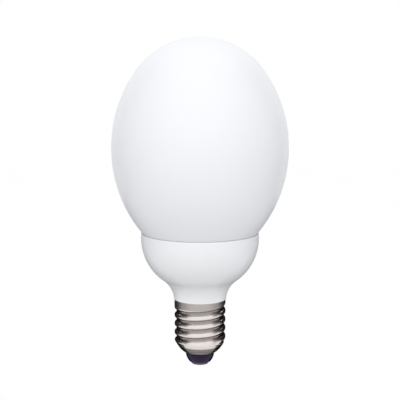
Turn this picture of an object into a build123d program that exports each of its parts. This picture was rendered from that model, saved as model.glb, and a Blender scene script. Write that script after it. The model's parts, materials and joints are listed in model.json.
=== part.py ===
from build123d import *
from math import acos, asin, atan, atan2, cos, degrees, pi, radians, sin, sqrt, tan
import os

# Energy saving bulb: a compact fluorescent lamp with an opal globe and a small screw cap.
# Millimetres. Z is the lamp's axis, with the end contact's face at z = 0 and the globe up.

# Screw cap: a rolled knuckle thread in thin sheet
crest_diameter = 16.6
thread_depth = 0.68
thread_pitch = 2.822
crest_land = 0.2
shell_wall = 0.3
shell_length = 17.95
plain_collar = 2.65
first_groove = 3.3
lead_in_turns = 0.5
runout_turns = 0.5
mouth_diameter = 9.4
shoulder_diameter = 13.2
shoulder_rise = 1.1
cone_height = 3.1

# End contact and its insulator
contact_drop = 3.9
contact_diameter = 5.8
contact_height = 0.9
contact_edge = 0.35
contact_stem_diameter = 2.6
contact_stem_length = 1.5
contact_hole = 1.4
insulator_tip_diameter = 7.4
insulator_belly = 0.25
insulator_flange = 1.9
solder_recess = 0.1

# Housing
lip_diameter = 37.9
lip_height = 1.85
lip_edge = 0.18
lip_rounding = 0.1
housing_height = 21.67
housing_wall = 1.2
bowl_arc = 16.56
neck_diameter = 16.9
neck_dip = 0.73
neck_floor = 0.6
spigot_length = 7.6
spigot_wall = 1.0
rib_count = 6
rib_thickness = 1.2
rib_height = 4.0

# Globe
globe_diameter = 56.37
crown_height = 35.12
flank_arc = 42.37
globe_wall = 1.0
globe_gap = 0.22
cement_gap = 0.5
cement_depth = 1.8

# Tube holder
holder_drop = 5.6
holder_thickness = 1.6
socket_wall = 0.8
socket_height = 2.6
centring_wall = 0.9
centring_height = 1.6

# Discharge tube
tube_diameter = 6.8
spiral_angle = 14.3
spiral_turns = 2.0
socket_gap = 0.37
leg_bend = 6.0
leg_length = 5.2
tube_drop = 1.2
spiral_runs = 12
bridge_runs = 5
arc_share = 0.86
bead_size = 0.7

# Circuit board
board_radius = 15.1
board_thickness = 1.2
board_drop = 1.3
board_ledge = 0.9
lead_radius = 0.25
lead_proud = 0.5
solder_radius = 0.6
mains_wire_radius = 0.45
mains_wire_x = 0.6
mains_wire_y = 5.2
shell_wire_height = 7.5
centre_wire_height = 2.8
pin_size = 0.7
pin_proud = 0.45
pin_offset = 1.6
pin_spread = 1.85
electrode_spread = 1.4

# Components under the board
choke_place = (-4.7, 0.0)
choke_width = 8.4
choke_core_depth = 4.4
choke_depth = 8.4
choke_height = 7.0
choke_leg = 2.6
choke_yoke = 1.2
choke_corner = 1.0
choke_pin_x = 4.8
choke_pin_y = 6.4
capacitor_place = (0.7, 0.0)
capacitor_diameter = 8.0
capacitor_length = 11.0
capacitor_spacing = 3.5
capacitor_drop = 8.9
capacitor_edge = 0.6
film_places = [(5.4, 3.3), (5.4, -3.3)]
film_lengths = [7.2, 6.6]
film_widths = [3.4, 2.8]
film_heights = [6.2, 5.4]
film_edge = 0.7
film_spacing = 5.0
toroid_place = (0.0, 9.9)
toroid_radius = 2.6
toroid_core_radius = 0.8
toroid_wire_radius = 0.2
toroid_turns = 9
toroid_spacing = 8.6
transistor_places = [(-3.2, -8.0), (3.2, -8.0)]
transistor_diameter = 4.6
transistor_height = 4.6
transistor_flat = 1.3
transistor_spacing = 1.3
ring_radius = 12.3
diode_angles = [14.0, 51.5, 127.5, 188.0]
diode_diameter = 2.6
diode_length = 5.0
diode_span = 6.8
fuse_angle = 230.0
fuse_diameter = 2.4
fuse_length = 6.2
fuse_span = 8.8
resistor_angle = 304.0
resistor_diameter = 1.7
resistor_length = 3.0
resistor_span = 4.6
diac_angle = 270.0
diac_diameter = 1.8
diac_length = 3.4
diac_span = 5.4
body_edge = 0.25
standoff = 0.3

# Clearances
press_clearance = 0.05
fit_clearance = 0.15
hole_clearance = 0.1

# Cap: what follows from its sizes
crest_radius = crest_diameter / 2
root_radius = crest_radius - thread_depth
mouth_radius = mouth_diameter / 2
shoulder_radius = shoulder_diameter / 2
shell_bottom = contact_drop
shell_top = shell_bottom + shell_length
shoulder_level = shell_bottom + shoulder_rise
cone_top = shoulder_level + cone_height
thread_start = shell_bottom + first_groove - lead_in_turns * thread_pitch
thread_turns = (shell_top - plain_collar - thread_start) / thread_pitch
groove_width = thread_pitch - crest_land
knuckle_angle = 2 * atan(2 * thread_depth / groove_width)
knuckle_arc = groove_width / (4 * sin(knuckle_angle))
shell_bore = root_radius - shell_wall
contact_radius = contact_diameter / 2

# Housing: what follows from its sizes
lip_radius = lip_diameter / 2
lip_top = shell_top + housing_height
lip_bottom = lip_top - lip_height
neck_radius = neck_diameter / 2
neck_level = shell_top - neck_dip
bowl_inset = lip_radius - bowl_arc - neck_radius
bowl_drop = lip_bottom - neck_level
neck_arc = (bowl_inset**2 + bowl_drop**2 - bowl_arc**2) / (2 * (bowl_inset + bowl_arc))
bowl_center = (lip_radius - bowl_arc, lip_bottom)
neck_center = (neck_radius + neck_arc, neck_level)
bowl_sweep = degrees(asin(bowl_drop / (bowl_arc + neck_arc)))
spigot_radius = shell_bore - press_clearance
spigot_bore = spigot_radius - spigot_wall
spigot_bottom = shell_top - spigot_length
inner_lip = lip_radius - housing_wall

# Globe: what follows from its sizes
globe_radius = globe_diameter / 2
cradle_arc = flank_arc + globe_gap
cradle_reach = lip_radius - lip_edge - globe_radius + flank_arc
globe_equator = lip_top + sqrt(cradle_arc**2 - cradle_reach**2)
flank_center = (globe_radius - flank_arc, globe_equator)
crown_arc = (flank_arc**2 - flank_center[0]**2 - crown_height**2) / (2 * (flank_arc - crown_height))
crown_center = (0, globe_equator + crown_height - crown_arc)
crown_tilt = degrees(atan2(crown_center[1] - globe_equator, -flank_center[0]))
globe_neck = inner_lip - cement_gap

# Holder and board: what follows from their sizes
holder_seat = lip_top - holder_drop
holder_top = holder_seat + holder_thickness
globe_rim = holder_top + press_clearance
board_top = holder_seat - board_drop
board_bottom = board_top - board_thickness
rib_bottom = board_bottom - rib_height
lead_top = board_top + lead_proud

# Discharge tube: what follows from its sizes
tube_radius = tube_diameter / 2
spiral_slope = radians(spiral_angle)
leg_offset = leg_bend * (1 - sin(spiral_slope))
leg_reach = globe_neck - globe_wall - socket_gap - socket_wall - hole_clearance - tube_radius
spiral_radius = sqrt(leg_reach**2 - leg_offset**2)
spiral_pitch = 2 * pi * spiral_radius * tan(spiral_slope)
tube_end = holder_top - tube_drop
bend_start = tube_end + leg_length
spiral_start = bend_start + leg_bend * cos(spiral_slope)
spiral_top = spiral_start + spiral_pitch * spiral_turns
leg_places = [(spiral_radius, -leg_offset), (-spiral_radius, leg_offset)]


def arc_radius(center, radius, height):
    """Distance from the axis of an arc, at this height."""
    return center[0] + sqrt(radius**2 - (height - center[1]) ** 2)


def wire_along(points, radius):
    """A round wire along these points, with rounded corners."""
    with BuildPart(mode=Mode.PRIVATE) as wire:
        with BuildLine() as route:
            if len(points) > 2:
                FilletPolyline(*points, radius=2 * radius)
            else:
                Line(*points)
        with BuildSketch(Plane(origin=route.line @ 0, z_dir=route.line % 0)):
            Circle(radius)
        sweep(path=route.line)
    return wire.part


def on_ring(radius, angle, side=0.0):
    """The point at this radius and angle, moved sideways along the ring."""
    turn = radians(angle)
    return (radius * cos(turn) - side * sin(turn), radius * sin(turn) + side * cos(turn))


# Where the leads pass through the board
def spaced(place, spacing, along_x):
    """Two points about a place, this far apart."""
    half = spacing / 2
    step = (half, 0) if along_x else (0, half)
    return [(place[0] - step[0], place[1] - step[1]), (place[0] + step[0], place[1] + step[1])]


capacitor_leads = spaced(capacitor_place, capacitor_spacing, along_x=False)
film_leads = [lead for place in film_places for lead in spaced(place, film_spacing, along_x=True)]
choke_leads = [
    (choke_place[0] + i * choke_pin_x / 2, choke_place[1] + j * choke_pin_y / 2)
    for i in (-1, 1)
    for j in (-1, 1)
]
toroid_leads = spaced(toroid_place, toroid_spacing, along_x=True)
transistor_leads = [
    (place[0] + step * transistor_spacing, place[1])
    for place in transistor_places
    for step in (-1, 0, 1)
]


def ring_leads(angles, span):
    """Where the leads of the parts that lie round the board pass through it."""
    return [on_ring(ring_radius, angle, side * span / 2) for angle in angles for side in (-1, 1)]


diode_leads = ring_leads(diode_angles, diode_span)
fuse_leads = ring_leads([fuse_angle], fuse_span)
resistor_leads = ring_leads([resistor_angle], resistor_span)
diac_leads = ring_leads([diac_angle], diac_span)
mains_leads = [(mains_wire_x, mains_wire_y), (mains_wire_x, -mains_wire_y)]
component_leads = (
    capacitor_leads + film_leads + choke_leads + toroid_leads + transistor_leads
    + diode_leads + fuse_leads + resistor_leads + diac_leads
)
pin_places = [
    on_ring(leg_reach + pin_offset, degrees(atan2(y, x)), side * pin_spread)
    for x, y in leg_places for side in (-1, 1)
]


# Screw shell
def shell_corner(point, first, second, inset):
    """A corner of the shell's section, moved in by this much from the two sides that meet there."""
    scale = inset / (1 + first[0] * second[0] + first[1] * second[1])
    return (point[0] + scale * (first[0] + second[0]), point[1] + scale * (first[1] + second[1]))


def shell_section(inset):
    """Half section of the plain shell, from its mouth to its rim."""
    rise = atan2(shoulder_rise, shoulder_radius - mouth_radius)
    lean = atan2(crest_radius - shoulder_radius, cone_height)
    end_normal = (-sin(rise), cos(rise))
    cone_normal = (-cos(lean), sin(lean))
    mouth_level = shell_bottom + inset / cos(rise)
    with BuildSketch(Plane.XZ, mode=Mode.PRIVATE) as section:
        with BuildLine():
            Polyline(
                (0, mouth_level),
                (mouth_radius, mouth_level),
                shell_corner((shoulder_radius, shoulder_level), end_normal, cone_normal, inset),
                shell_corner((crest_radius, cone_top), cone_normal, (-1, 0), inset),
                (crest_radius - inset, shell_top),
                (0, shell_top),
                close=True,
            )
        make_face()
    return section.sketch


def groove_section(plane, inset):
    """Section of the thread's groove, from land to land, with a margin outside the crests."""
    half = groove_width / 2
    arc = knuckle_arc - inset
    flank = (arc * cos(knuckle_angle), arc * sin(knuckle_angle) - half)
    shoulder = (arc * cos(knuckle_angle / 2), arc * sin(knuckle_angle / 2) - half)
    crest = crest_radius - root_radius - inset
    center = crest_radius - knuckle_arc - root_radius
    outside = crest_radius - root_radius + 2 * shell_wall
    with BuildSketch(plane, mode=Mode.PRIVATE) as section:
        with BuildLine():
            ThreePointArc(
                (crest, -half), (center + shoulder[0], shoulder[1]), (center + flank[0], flank[1])
            )
            ThreePointArc(
                (center + flank[0], flank[1]), (-inset, 0), (center + flank[0], -flank[1])
            )
            ThreePointArc(
                (center + flank[0], -flank[1]), (center + shoulder[0], -shoulder[1]), (crest, half)
            )
            Polyline((crest, half), (outside, half), (outside, -half), (crest, -half))
        make_face()
    return section.sketch


def groove_span(height, growth, inset):
    """A stretch of the groove as a solid, from the X axis upwards, its radius growing by this much."""
    cone = atan(growth / height)
    lead = atan(thread_pitch / (2 * pi * root_radius))
    start = Plane((root_radius, 0, 0), x_dir=(1, 0, 0), z_dir=(0, cos(lead), sin(lead)))
    with BuildPart(mode=Mode.PRIVATE) as span:
        with BuildLine() as path:
            Helix(thread_pitch / cos(cone), height / cos(cone), root_radius, cone_angle=degrees(cone))
        sweep(sections=groove_section(start, inset), path=path.line, is_frenet=True)
    return span.part


def thread_cutter(inset):
    """The thread's groove as a solid: full turns, then a run-out that climbs out of the sheet."""
    start_angle = -90 - 360 * lead_in_turns
    turns = groove_span(thread_pitch * thread_turns, 0, inset)
    runout = groove_span(thread_pitch * runout_turns, thread_depth + shell_wall / 2, inset)
    runout_level = thread_start + thread_pitch * thread_turns
    with BuildPart(mode=Mode.PRIVATE) as cutter:
        add(turns.moved(Location((0, 0, thread_start), (0, 0, start_angle))))
        add(runout.moved(Location((0, 0, runout_level), (0, 0, start_angle + 360 * thread_turns))))
    return cutter.part


with BuildPart() as shell_void:
    revolve(shell_section(shell_wall), axis=Axis.Z)
    add(thread_cutter(shell_wall), mode=Mode.SUBTRACT)

with BuildPart() as screw_shell:
    revolve(shell_section(0), axis=Axis.Z)
    add(thread_cutter(0), mode=Mode.SUBTRACT)
    add(shell_void.part, mode=Mode.SUBTRACT)
    with Locations((0, 0, shell_bottom)):
        Cylinder(mouth_radius, 2 * shoulder_rise, mode=Mode.SUBTRACT)


# Insulator, end contact and solder
insulator_seat = shell_bottom + insulator_flange
stem_radius = contact_stem_diameter / 2
insulator_tip = insulator_tip_diameter / 2
neck_of_insulator = mouth_radius - press_clearance

with BuildPart() as insulator:
    revolve(shell_section(shell_wall + press_clearance), axis=Axis.Z)
    with BuildSketch(Plane.XZ):
        with BuildLine():
            collar_top = shell_bottom + shoulder_rise / 2
            side = Line((neck_of_insulator, collar_top), (neck_of_insulator, shell_bottom))
            SagittaArc(side @ 1, (insulator_tip, contact_height), -insulator_belly)
            Polyline(
                (insulator_tip, contact_height), (0, contact_height), (0, side.start_point().Y), side @ 0
            )
        make_face()
    revolve(axis=Axis.Z)
    with BuildSketch(Plane.XY.offset(insulator_seat)):
        Circle(crest_radius)
    extrude(amount=shell_length, mode=Mode.SUBTRACT)
    with Locations((0, 0, contact_height)):
        Cylinder(
            stem_radius + press_clearance, contact_stem_length + press_clearance,
            align=(Align.CENTER, Align.CENTER, Align.MIN), mode=Mode.SUBTRACT,
        )
    with Locations((0, 0, insulator_seat)):
        Cylinder(contact_hole / 2, 2 * insulator_seat, mode=Mode.SUBTRACT)

with BuildPart() as centre_contact:
    Cylinder(contact_radius, contact_height, align=(Align.CENTER, Align.CENTER, Align.MIN))
    fillet(centre_contact.edges().sort_by(Axis.Z)[0], radius=contact_edge)
    with Locations((0, 0, contact_height)):
        Cylinder(stem_radius, contact_stem_length, align=(Align.CENTER, Align.CENTER, Align.MIN))
    Cylinder(contact_hole / 2, 4 * (contact_height + contact_stem_length), mode=Mode.SUBTRACT)

with BuildPart() as contact_solder:
    with Locations((0, 0, solder_recess)):
        Cylinder(
            contact_hole / 2, contact_height,
            align=(Align.CENTER, Align.CENTER, Align.MIN),
        )


# Globe
def flank_angle(inset, distance):
    """Angle below the equator at which the globe's flank is this far from the axis."""
    return degrees(acos((distance - flank_center[0]) / (flank_arc - inset)))


def globe_section(inset):
    """Half section of the globe's outside, or of its inside when inset by the wall."""
    neck = globe_neck - inset
    turn = flank_angle(inset, neck)
    with BuildSketch(Plane.XZ, mode=Mode.PRIVATE) as section:
        with BuildLine():
            crown = CenterArc(crown_center, crown_arc - inset, 90, crown_tilt - 90)
            flank = CenterArc(flank_center, flank_arc - inset, crown_tilt, -crown_tilt - turn)
            Polyline(flank @ 1, (neck, globe_rim), (0, globe_rim), crown @ 0)
        make_face()
    return section.sketch


with BuildPart() as globe:
    revolve(globe_section(0), axis=Axis.Z)
    revolve(globe_section(globe_wall), axis=Axis.Z, mode=Mode.SUBTRACT)

cement_top = globe_equator - sqrt(cradle_arc**2 - (inner_lip - flank_center[0]) ** 2) - cement_gap
cement_bottom = cement_top - cement_depth

with BuildPart() as globe_cement:
    with BuildSketch(Plane.XY.offset(cement_bottom)):
        Circle(arc_radius(bowl_center, bowl_arc - housing_wall, cement_bottom) - press_clearance)
        Circle(globe_neck + press_clearance, mode=Mode.SUBTRACT)
    extrude(amount=cement_depth)


# Housing
def housing_curve_angle(inset, level):
    """Angle of the neck's curve at which it reaches this height."""
    return degrees(asin((level - neck_level) / (neck_arc + inset)))


with BuildPart() as housing:
    with BuildSketch(Plane.XZ):
        ledge = board_radius - board_ledge
        step = board_radius + fit_clearance
        with BuildLine():
            Polyline(
                (ledge, rib_bottom), (ledge, board_bottom), (step, board_bottom), (step, holder_seat),
                (lip_radius, holder_seat), (lip_radius, rib_bottom), close=True,
            )
        make_face()
    extrude(amount=rib_thickness / 2, both=True)
    rib = housing.part
    for turn in range(1, rib_count):
        add(rib.rotate(Axis.Z, turn * 360 / rib_count))
    with BuildSketch(Plane.XZ):
        with BuildLine():
            inside = housing_wall / 2
            wall = CenterArc(bowl_center, bowl_arc - inside, 0, -bowl_sweep)
            Polyline(wall @ 1, (0, (wall @ 1).Y), (0, lip_top), (lip_radius - inside, lip_top), wall @ 0)
        make_face()
    revolve(axis=Axis.Z, mode=Mode.INTERSECT)
    with BuildSketch(Plane.XZ):
        with BuildLine():
            neck_sweep = bowl_sweep - housing_curve_angle(0, shell_top)
            floor = shell_top + neck_floor
            floor_sweep = bowl_sweep - housing_curve_angle(housing_wall, floor)
            CenterArc(bowl_center, bowl_arc, 0, -bowl_sweep)
            neck = CenterArc(neck_center, neck_arc, 180 - bowl_sweep, neck_sweep)
            CenterArc(bowl_center, bowl_arc - housing_wall, 0, -bowl_sweep)
            inner_neck = CenterArc(neck_center, neck_arc + housing_wall, 180 - bowl_sweep, floor_sweep)
            cradle_top = degrees(asin((globe_equator - lip_top) / cradle_arc))
            cradle_bottom = degrees(acos((inner_lip - flank_center[0]) / cradle_arc))
            cradle = CenterArc(flank_center, cradle_arc, -cradle_top, cradle_top - cradle_bottom)
            Polyline(cradle @ 1, (inner_lip, lip_bottom))
            Polyline(cradle @ 0, (lip_radius, lip_top), (lip_radius, lip_bottom))
            Polyline(
                inner_neck @ 1, (spigot_bore, floor), (spigot_bore, spigot_bottom),
                (spigot_radius, spigot_bottom), (spigot_radius, shell_top), neck @ 1,
            )
        make_face()
    revolve(axis=Axis.Z)
    rim = housing.edges().filter_by(GeomType.CIRCLE).group_by(Axis.Z)[-1].sort_by(SortBy.RADIUS)[-1]
    fillet(rim, radius=lip_rounding)


# Tube holder
with BuildPart() as tube_holder:
    holder_radius = arc_radius(bowl_center, bowl_arc - housing_wall, holder_seat) - fit_clearance
    with BuildSketch(Plane.XY.offset(holder_seat)):
        Circle(holder_radius)
    extrude(amount=holder_thickness)
    with BuildSketch(Plane.XY.offset(holder_top)):
        centring = globe_neck - globe_wall - fit_clearance
        Circle(centring)
        Circle(centring - centring_wall, mode=Mode.SUBTRACT)
    extrude(amount=centring_height)
    with BuildSketch(Plane.XY.offset(holder_top)):
        with Locations(*leg_places):
            Circle(tube_radius + hole_clearance + socket_wall)
    extrude(amount=socket_height)
    with BuildSketch(Plane.XY.offset(holder_seat)):
        with Locations(*leg_places):
            Circle(tube_radius + hole_clearance)
    extrude(amount=holder_thickness + socket_height, mode=Mode.SUBTRACT)


# Discharge tube
def spiral_corner(number):
    """A corner of the line of runs and arcs that the spiral follows, numbered from its start."""
    turn = (number + 0.5) / spiral_runs
    reach = spiral_radius / cos(pi / spiral_runs)
    return (reach * cos(2 * pi * turn), reach * sin(2 * pi * turn), spiral_start + spiral_pitch * turn)


def bridge_corner(number):
    """A corner of the half turn that takes one spiral over to the axis, at the tube's top."""
    angle = pi * (number + 0.5) / bridge_runs
    half = spiral_radius / 2
    reach = half / cos(pi / (2 * bridge_runs))
    rise = spiral_radius * tan(spiral_slope) * sin(angle / 2)
    return (half + reach * cos(angle), reach * sin(angle), spiral_top + rise)


corner_drop = leg_offset * tan(spiral_slope)
spiral_corners = [spiral_corner(number) for number in range(round(spiral_turns * spiral_runs))]
bridge_corners = [bridge_corner(number) for number in range(bridge_runs)]
spiral_bend = arc_share * spiral_radius / cos(spiral_slope)
bridge_bend = arc_share * spiral_radius / 2
bend_radii = [leg_bend] + [spiral_bend] * len(spiral_corners) + [bridge_bend] * len(bridge_corners)

with BuildPart() as discharge_tube:
    with BuildLine() as tube_route:
        FilletPolyline(
            (spiral_radius, -leg_offset, tube_end),
            (spiral_radius, -leg_offset, spiral_start - corner_drop),
            *spiral_corners,
            *bridge_corners,
            (0, 0, bridge_corners[-1][2]),
            radius=bend_radii,
        )
    with BuildSketch(Plane(origin=tube_route.line @ 0, z_dir=tube_route.line % 0)):
        Circle(tube_radius)
    sweep(path=tube_route.line)
    add(discharge_tube.part.rotate(Axis.Z, 180))

with BuildPart() as tube_cement:
    with BuildSketch(Plane.XZ):
        with BuildLine():
            inner = tube_radius + press_clearance
            bead_bottom = holder_top + socket_height + press_clearance
            Polyline(
                (inner, bead_bottom), (inner + bead_size, bead_bottom), (inner, bead_bottom + bead_size),
                close=True,
            )
        make_face()
    revolve(axis=Axis.Z)
    bead = tube_cement.part.moved(Location(leg_places[0]))
    other_bead = tube_cement.part.moved(Location(leg_places[1]))
    add([bead, other_bead], mode=Mode.REPLACE)


# Circuit board
with BuildPart() as circuit_board:
    with BuildSketch(Plane.XY.offset(board_bottom)):
        Circle(board_radius)
        with Locations(*component_leads):
            Circle(lead_radius + hole_clearance, mode=Mode.SUBTRACT)
        with Locations(*mains_leads):
            Circle(mains_wire_radius + hole_clearance, mode=Mode.SUBTRACT)
        with Locations(*pin_places):
            Rectangle(pin_size + hole_clearance, pin_size + hole_clearance, mode=Mode.SUBTRACT)
    extrude(amount=board_thickness)

with BuildPart() as solder_joints:
    with BuildSketch(Plane.XZ):
        with BuildLine():
            inner = lead_radius + press_clearance / 2
            Polyline(
                (inner, board_top), (solder_radius, board_top), (inner, board_top + lead_proud),
                close=True,
            )
        make_face()
    revolve(axis=Axis.Z)
    joints = [solder_joints.part.moved(Location(place)) for place in component_leads]
    add(joints, mode=Mode.REPLACE)

with BuildPart() as wire_pins:
    with BuildSketch(Plane.XY.offset(board_bottom - pin_proud)):
        with Locations(*pin_places):
            Rectangle(pin_size, pin_size)
    extrude(amount=board_thickness + 2 * pin_proud)


# Leads of the parts under the board
def upright_leads(places, bottom):
    """Straight leads at these places, from this height up through the board."""
    with BuildPart(mode=Mode.PRIVATE) as leads:
        with BuildSketch(Plane.XY.offset(bottom)):
            with Locations(*places):
                Circle(lead_radius)
        extrude(amount=lead_top - bottom)
    return leads.part


def lying_part(angle, diameter, length, span):
    """A cylindrical part with axial leads, lying along the board's edge at this angle."""
    level = board_bottom - standoff - diameter / 2
    middle = on_ring(ring_radius, angle)
    along = Vector(-sin(radians(angle)), cos(radians(angle)), 0)
    with BuildPart(mode=Mode.PRIVATE) as body:
        with BuildSketch(Plane(origin=(*middle, level), z_dir=along)):
            Circle(diameter / 2)
        extrude(amount=length / 2, both=True)
        chamfer(body.edges().filter_by(GeomType.CIRCLE), length=body_edge)
    ends = [on_ring(ring_radius, angle, side * span / 2) for side in (-1, 1)]
    leads = [wire_along([(*middle, level), (*end, level), (*end, lead_top)], lead_radius) for end in ends]
    return [body.part, *leads]


with BuildPart() as rectifier_diodes:
    for angle in diode_angles:
        add(lying_part(angle, diode_diameter, diode_length, diode_span))

with BuildPart() as fuse_resistor:
    add(lying_part(fuse_angle, fuse_diameter, fuse_length, fuse_span))

with BuildPart() as base_resistor:
    add(lying_part(resistor_angle, resistor_diameter, resistor_length, resistor_span))

with BuildPart() as diac:
    add(lying_part(diac_angle, diac_diameter, diac_length, diac_span))


# Choke
choke_top = board_bottom - standoff
choke_bottom = choke_top - choke_height
window_height = choke_height - 2 * choke_yoke
window_width = (choke_width - choke_leg) / 2 - choke_yoke

with BuildPart() as choke_core:
    with BuildSketch(Plane.XZ.offset(-choke_place[1])):
        with Locations((choke_place[0], choke_bottom + choke_height / 2)):
            Rectangle(choke_width, choke_height)
            with Locations((-(choke_leg + window_width) / 2, 0), ((choke_leg + window_width) / 2, 0)):
                Rectangle(window_width, window_height, mode=Mode.SUBTRACT)
    extrude(amount=choke_core_depth / 2, both=True)

with BuildPart() as choke_winding:
    with BuildSketch(Plane.XY.offset(choke_bottom + choke_yoke + press_clearance)):
        with Locations(choke_place):
            RectangleRounded(choke_leg + 2 * window_width - 2 * press_clearance, choke_depth, choke_corner)
            Rectangle(choke_leg + 2 * press_clearance, choke_core_depth + 2 * press_clearance,
                      mode=Mode.SUBTRACT)
    extrude(amount=window_height - 2 * press_clearance)
    add(upright_leads(choke_leads, choke_top - choke_yoke - 2 * press_clearance))


# Capacitors
with BuildPart() as electrolytic_capacitor:
    can_top = board_bottom - capacitor_drop
    with BuildSketch(Plane.XY.offset(can_top - capacitor_length)):
        with Locations(capacitor_place):
            Circle(capacitor_diameter / 2)
    extrude(amount=capacitor_length)
    fillet(electrolytic_capacitor.edges().filter_by(GeomType.CIRCLE), radius=capacitor_edge)
    add(upright_leads(capacitor_leads, can_top - capacitor_edge))


def film_capacitor(number):
    """A dipped film capacitor: a rounded block under the board, on two leads."""
    place = film_places[number]
    top = board_bottom - standoff
    with BuildPart(mode=Mode.PRIVATE) as block:
        with BuildSketch(Plane.XY.offset(top - film_heights[number])):
            with Locations(place):
                Rectangle(film_lengths[number], film_widths[number])
        extrude(amount=film_heights[number])
        fillet(block.edges(), radius=film_edge)
    return block.part


with BuildPart() as resonance_capacitor:
    add(film_capacitor(0))
    add(upright_leads(film_leads[:2], board_bottom - standoff - film_edge))

with BuildPart() as blocking_capacitor:
    add(film_capacitor(1))
    add(upright_leads(film_leads[2:], board_bottom - standoff - film_edge))


# Drive transformer
toroid_level = board_bottom - standoff - 2 * toroid_wire_radius - press_clearance - toroid_core_radius

with BuildPart() as toroid_core:
    with Locations((*toroid_place, toroid_level)):
        Torus(toroid_radius, toroid_core_radius)

with BuildPart() as toroid_winding:
    loop_radius = toroid_core_radius + press_clearance + toroid_wire_radius
    with Locations((*toroid_place, toroid_level)):
        with PolarLocations(toroid_radius, toroid_turns):
            Cylinder(loop_radius + toroid_wire_radius, 2 * toroid_wire_radius, rotation=(90, 0, 0))
            Cylinder(
                loop_radius - toroid_wire_radius, 3 * toroid_wire_radius, rotation=(90, 0, 0),
                mode=Mode.SUBTRACT,
            )


# Transistors
with BuildPart() as transistors:
    transistor_top = board_bottom - 2 * standoff
    with BuildSketch(Plane.XY.offset(transistor_top - transistor_height)):
        with Locations(*transistor_places):
            Circle(transistor_diameter / 2)
        for place in transistor_places:
            with Locations((place[0], place[1] - transistor_flat - transistor_diameter / 2)):
                Rectangle(transistor_diameter, transistor_diameter, mode=Mode.SUBTRACT)
    extrude(amount=transistor_height)
    add(upright_leads(transistor_leads, transistor_top))


# Wires from the tube's ends to the pins, and from the board to the cap
with BuildPart() as electrode_wires:
    wire_level = board_top + pin_proud + press_clearance + lead_radius
    for number, (x, y) in enumerate(leg_places):
        angle = degrees(atan2(y, x))
        for side in (-1, 1):
            pin = pin_places[2 * number + (0 if side < 0 else 1)]
            out = on_ring(leg_reach, angle, side * electrode_spread)
            points = [(*out, tube_end - press_clearance), (*out, wire_level), (*pin, wire_level)]
            add(wire_along(points, lead_radius))

with BuildPart() as shell_lead_wire:
    x, y = mains_leads[0]
    level = shell_bottom + shell_wire_height
    add(wire_along([(x, y, board_top), (x, y, level), (x, shell_bore - press_clearance, level)],
                   mains_wire_radius))

with BuildPart() as centre_lead_wire:
    x, y = mains_leads[1]
    level = insulator_seat + centre_wire_height
    end = solder_recess + contact_height + press_clearance
    add(wire_along([(x, y, board_top), (x, y, level), (0, 0, level), (0, 0, end)], mains_wire_radius))


pieces = {
    "globe": globe,
    "globe_cement": globe_cement,
    "housing": housing,
    "tube_holder": tube_holder,
    "discharge_tube": discharge_tube,
    "tube_cement": tube_cement,
    "screw_shell": screw_shell,
    "insulator": insulator,
    "centre_contact": centre_contact,
    "contact_solder": contact_solder,
    "shell_lead_wire": shell_lead_wire,
    "centre_lead_wire": centre_lead_wire,
    "circuit_board": circuit_board,
    "solder_joints": solder_joints,
    "wire_pins": wire_pins,
    "electrode_wires": electrode_wires,
    "choke_core": choke_core,
    "choke_winding": choke_winding,
    "electrolytic_capacitor": electrolytic_capacitor,
    "resonance_capacitor": resonance_capacitor,
    "blocking_capacitor": blocking_capacitor,
    "toroid_core": toroid_core,
    "toroid_winding": toroid_winding,
    "transistors": transistors,
    "rectifier_diodes": rectifier_diodes,
    "fuse_resistor": fuse_resistor,
    "base_resistor": base_resistor,
    "diac": diac,
}
os.makedirs("parts", exist_ok=True)
for name, piece in pieces.items():
    piece.part.label = name
    export_step(piece.part, f"parts/{name}.step")
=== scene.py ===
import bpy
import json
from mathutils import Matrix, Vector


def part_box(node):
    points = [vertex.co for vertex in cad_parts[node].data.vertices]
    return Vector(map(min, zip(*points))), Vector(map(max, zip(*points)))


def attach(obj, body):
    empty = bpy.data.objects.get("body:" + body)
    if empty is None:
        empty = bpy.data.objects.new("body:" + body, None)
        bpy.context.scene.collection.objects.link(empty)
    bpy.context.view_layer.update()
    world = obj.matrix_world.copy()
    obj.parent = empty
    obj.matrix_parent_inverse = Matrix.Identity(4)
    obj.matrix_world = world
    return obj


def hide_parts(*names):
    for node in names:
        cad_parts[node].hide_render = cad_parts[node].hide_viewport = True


bl_info = {
    "name": "Energy saving bulb",
    "version": (1, 0, 0),
    "blender": (4, 5, 0),
    "location": "3D View > Sidebar > Bulb",
    "description": "Models and finishes a globe-shaped energy saving bulb round its packed frame",
    "category": "Object",
}

import json
import math

import bmesh
import bpy
from bpy.props import FloatProperty, FloatVectorProperty, IntProperty, PointerProperty
from mathutils import Matrix, Vector

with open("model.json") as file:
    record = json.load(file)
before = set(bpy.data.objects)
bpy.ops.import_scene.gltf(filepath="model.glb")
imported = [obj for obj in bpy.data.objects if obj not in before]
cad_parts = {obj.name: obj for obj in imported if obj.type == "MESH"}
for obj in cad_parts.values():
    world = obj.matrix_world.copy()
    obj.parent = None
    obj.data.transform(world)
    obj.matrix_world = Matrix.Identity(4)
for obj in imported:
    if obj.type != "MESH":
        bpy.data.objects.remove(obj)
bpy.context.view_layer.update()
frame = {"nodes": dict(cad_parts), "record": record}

# Sizes read from the frame, in metres
globe_low, globe_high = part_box("globe")
housing_low, housing_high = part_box("housing")
shell_low, shell_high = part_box("screw_shell")
insulator_low, insulator_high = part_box("insulator")
contact_low, contact_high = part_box("centre_contact")
solder_low, solder_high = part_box("contact_solder")

MM = 0.001

# The shell's lower end, where the insulator meets it, and the board that the housing's ribs hold
SHOULDER_RISE = 1.1 * MM
CONE_TOP = 4.2 * MM
CONE_SLOPE = 1.7 / 3.1
BOARD_RADIUS = 15.1 * MM
BOARD_CLEARANCE = 0.15 * MM

# Parts of the shell's soft fold and of the insulator's side
FOLD_STEPS = 24
BELLY_STEPS = 10

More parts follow.
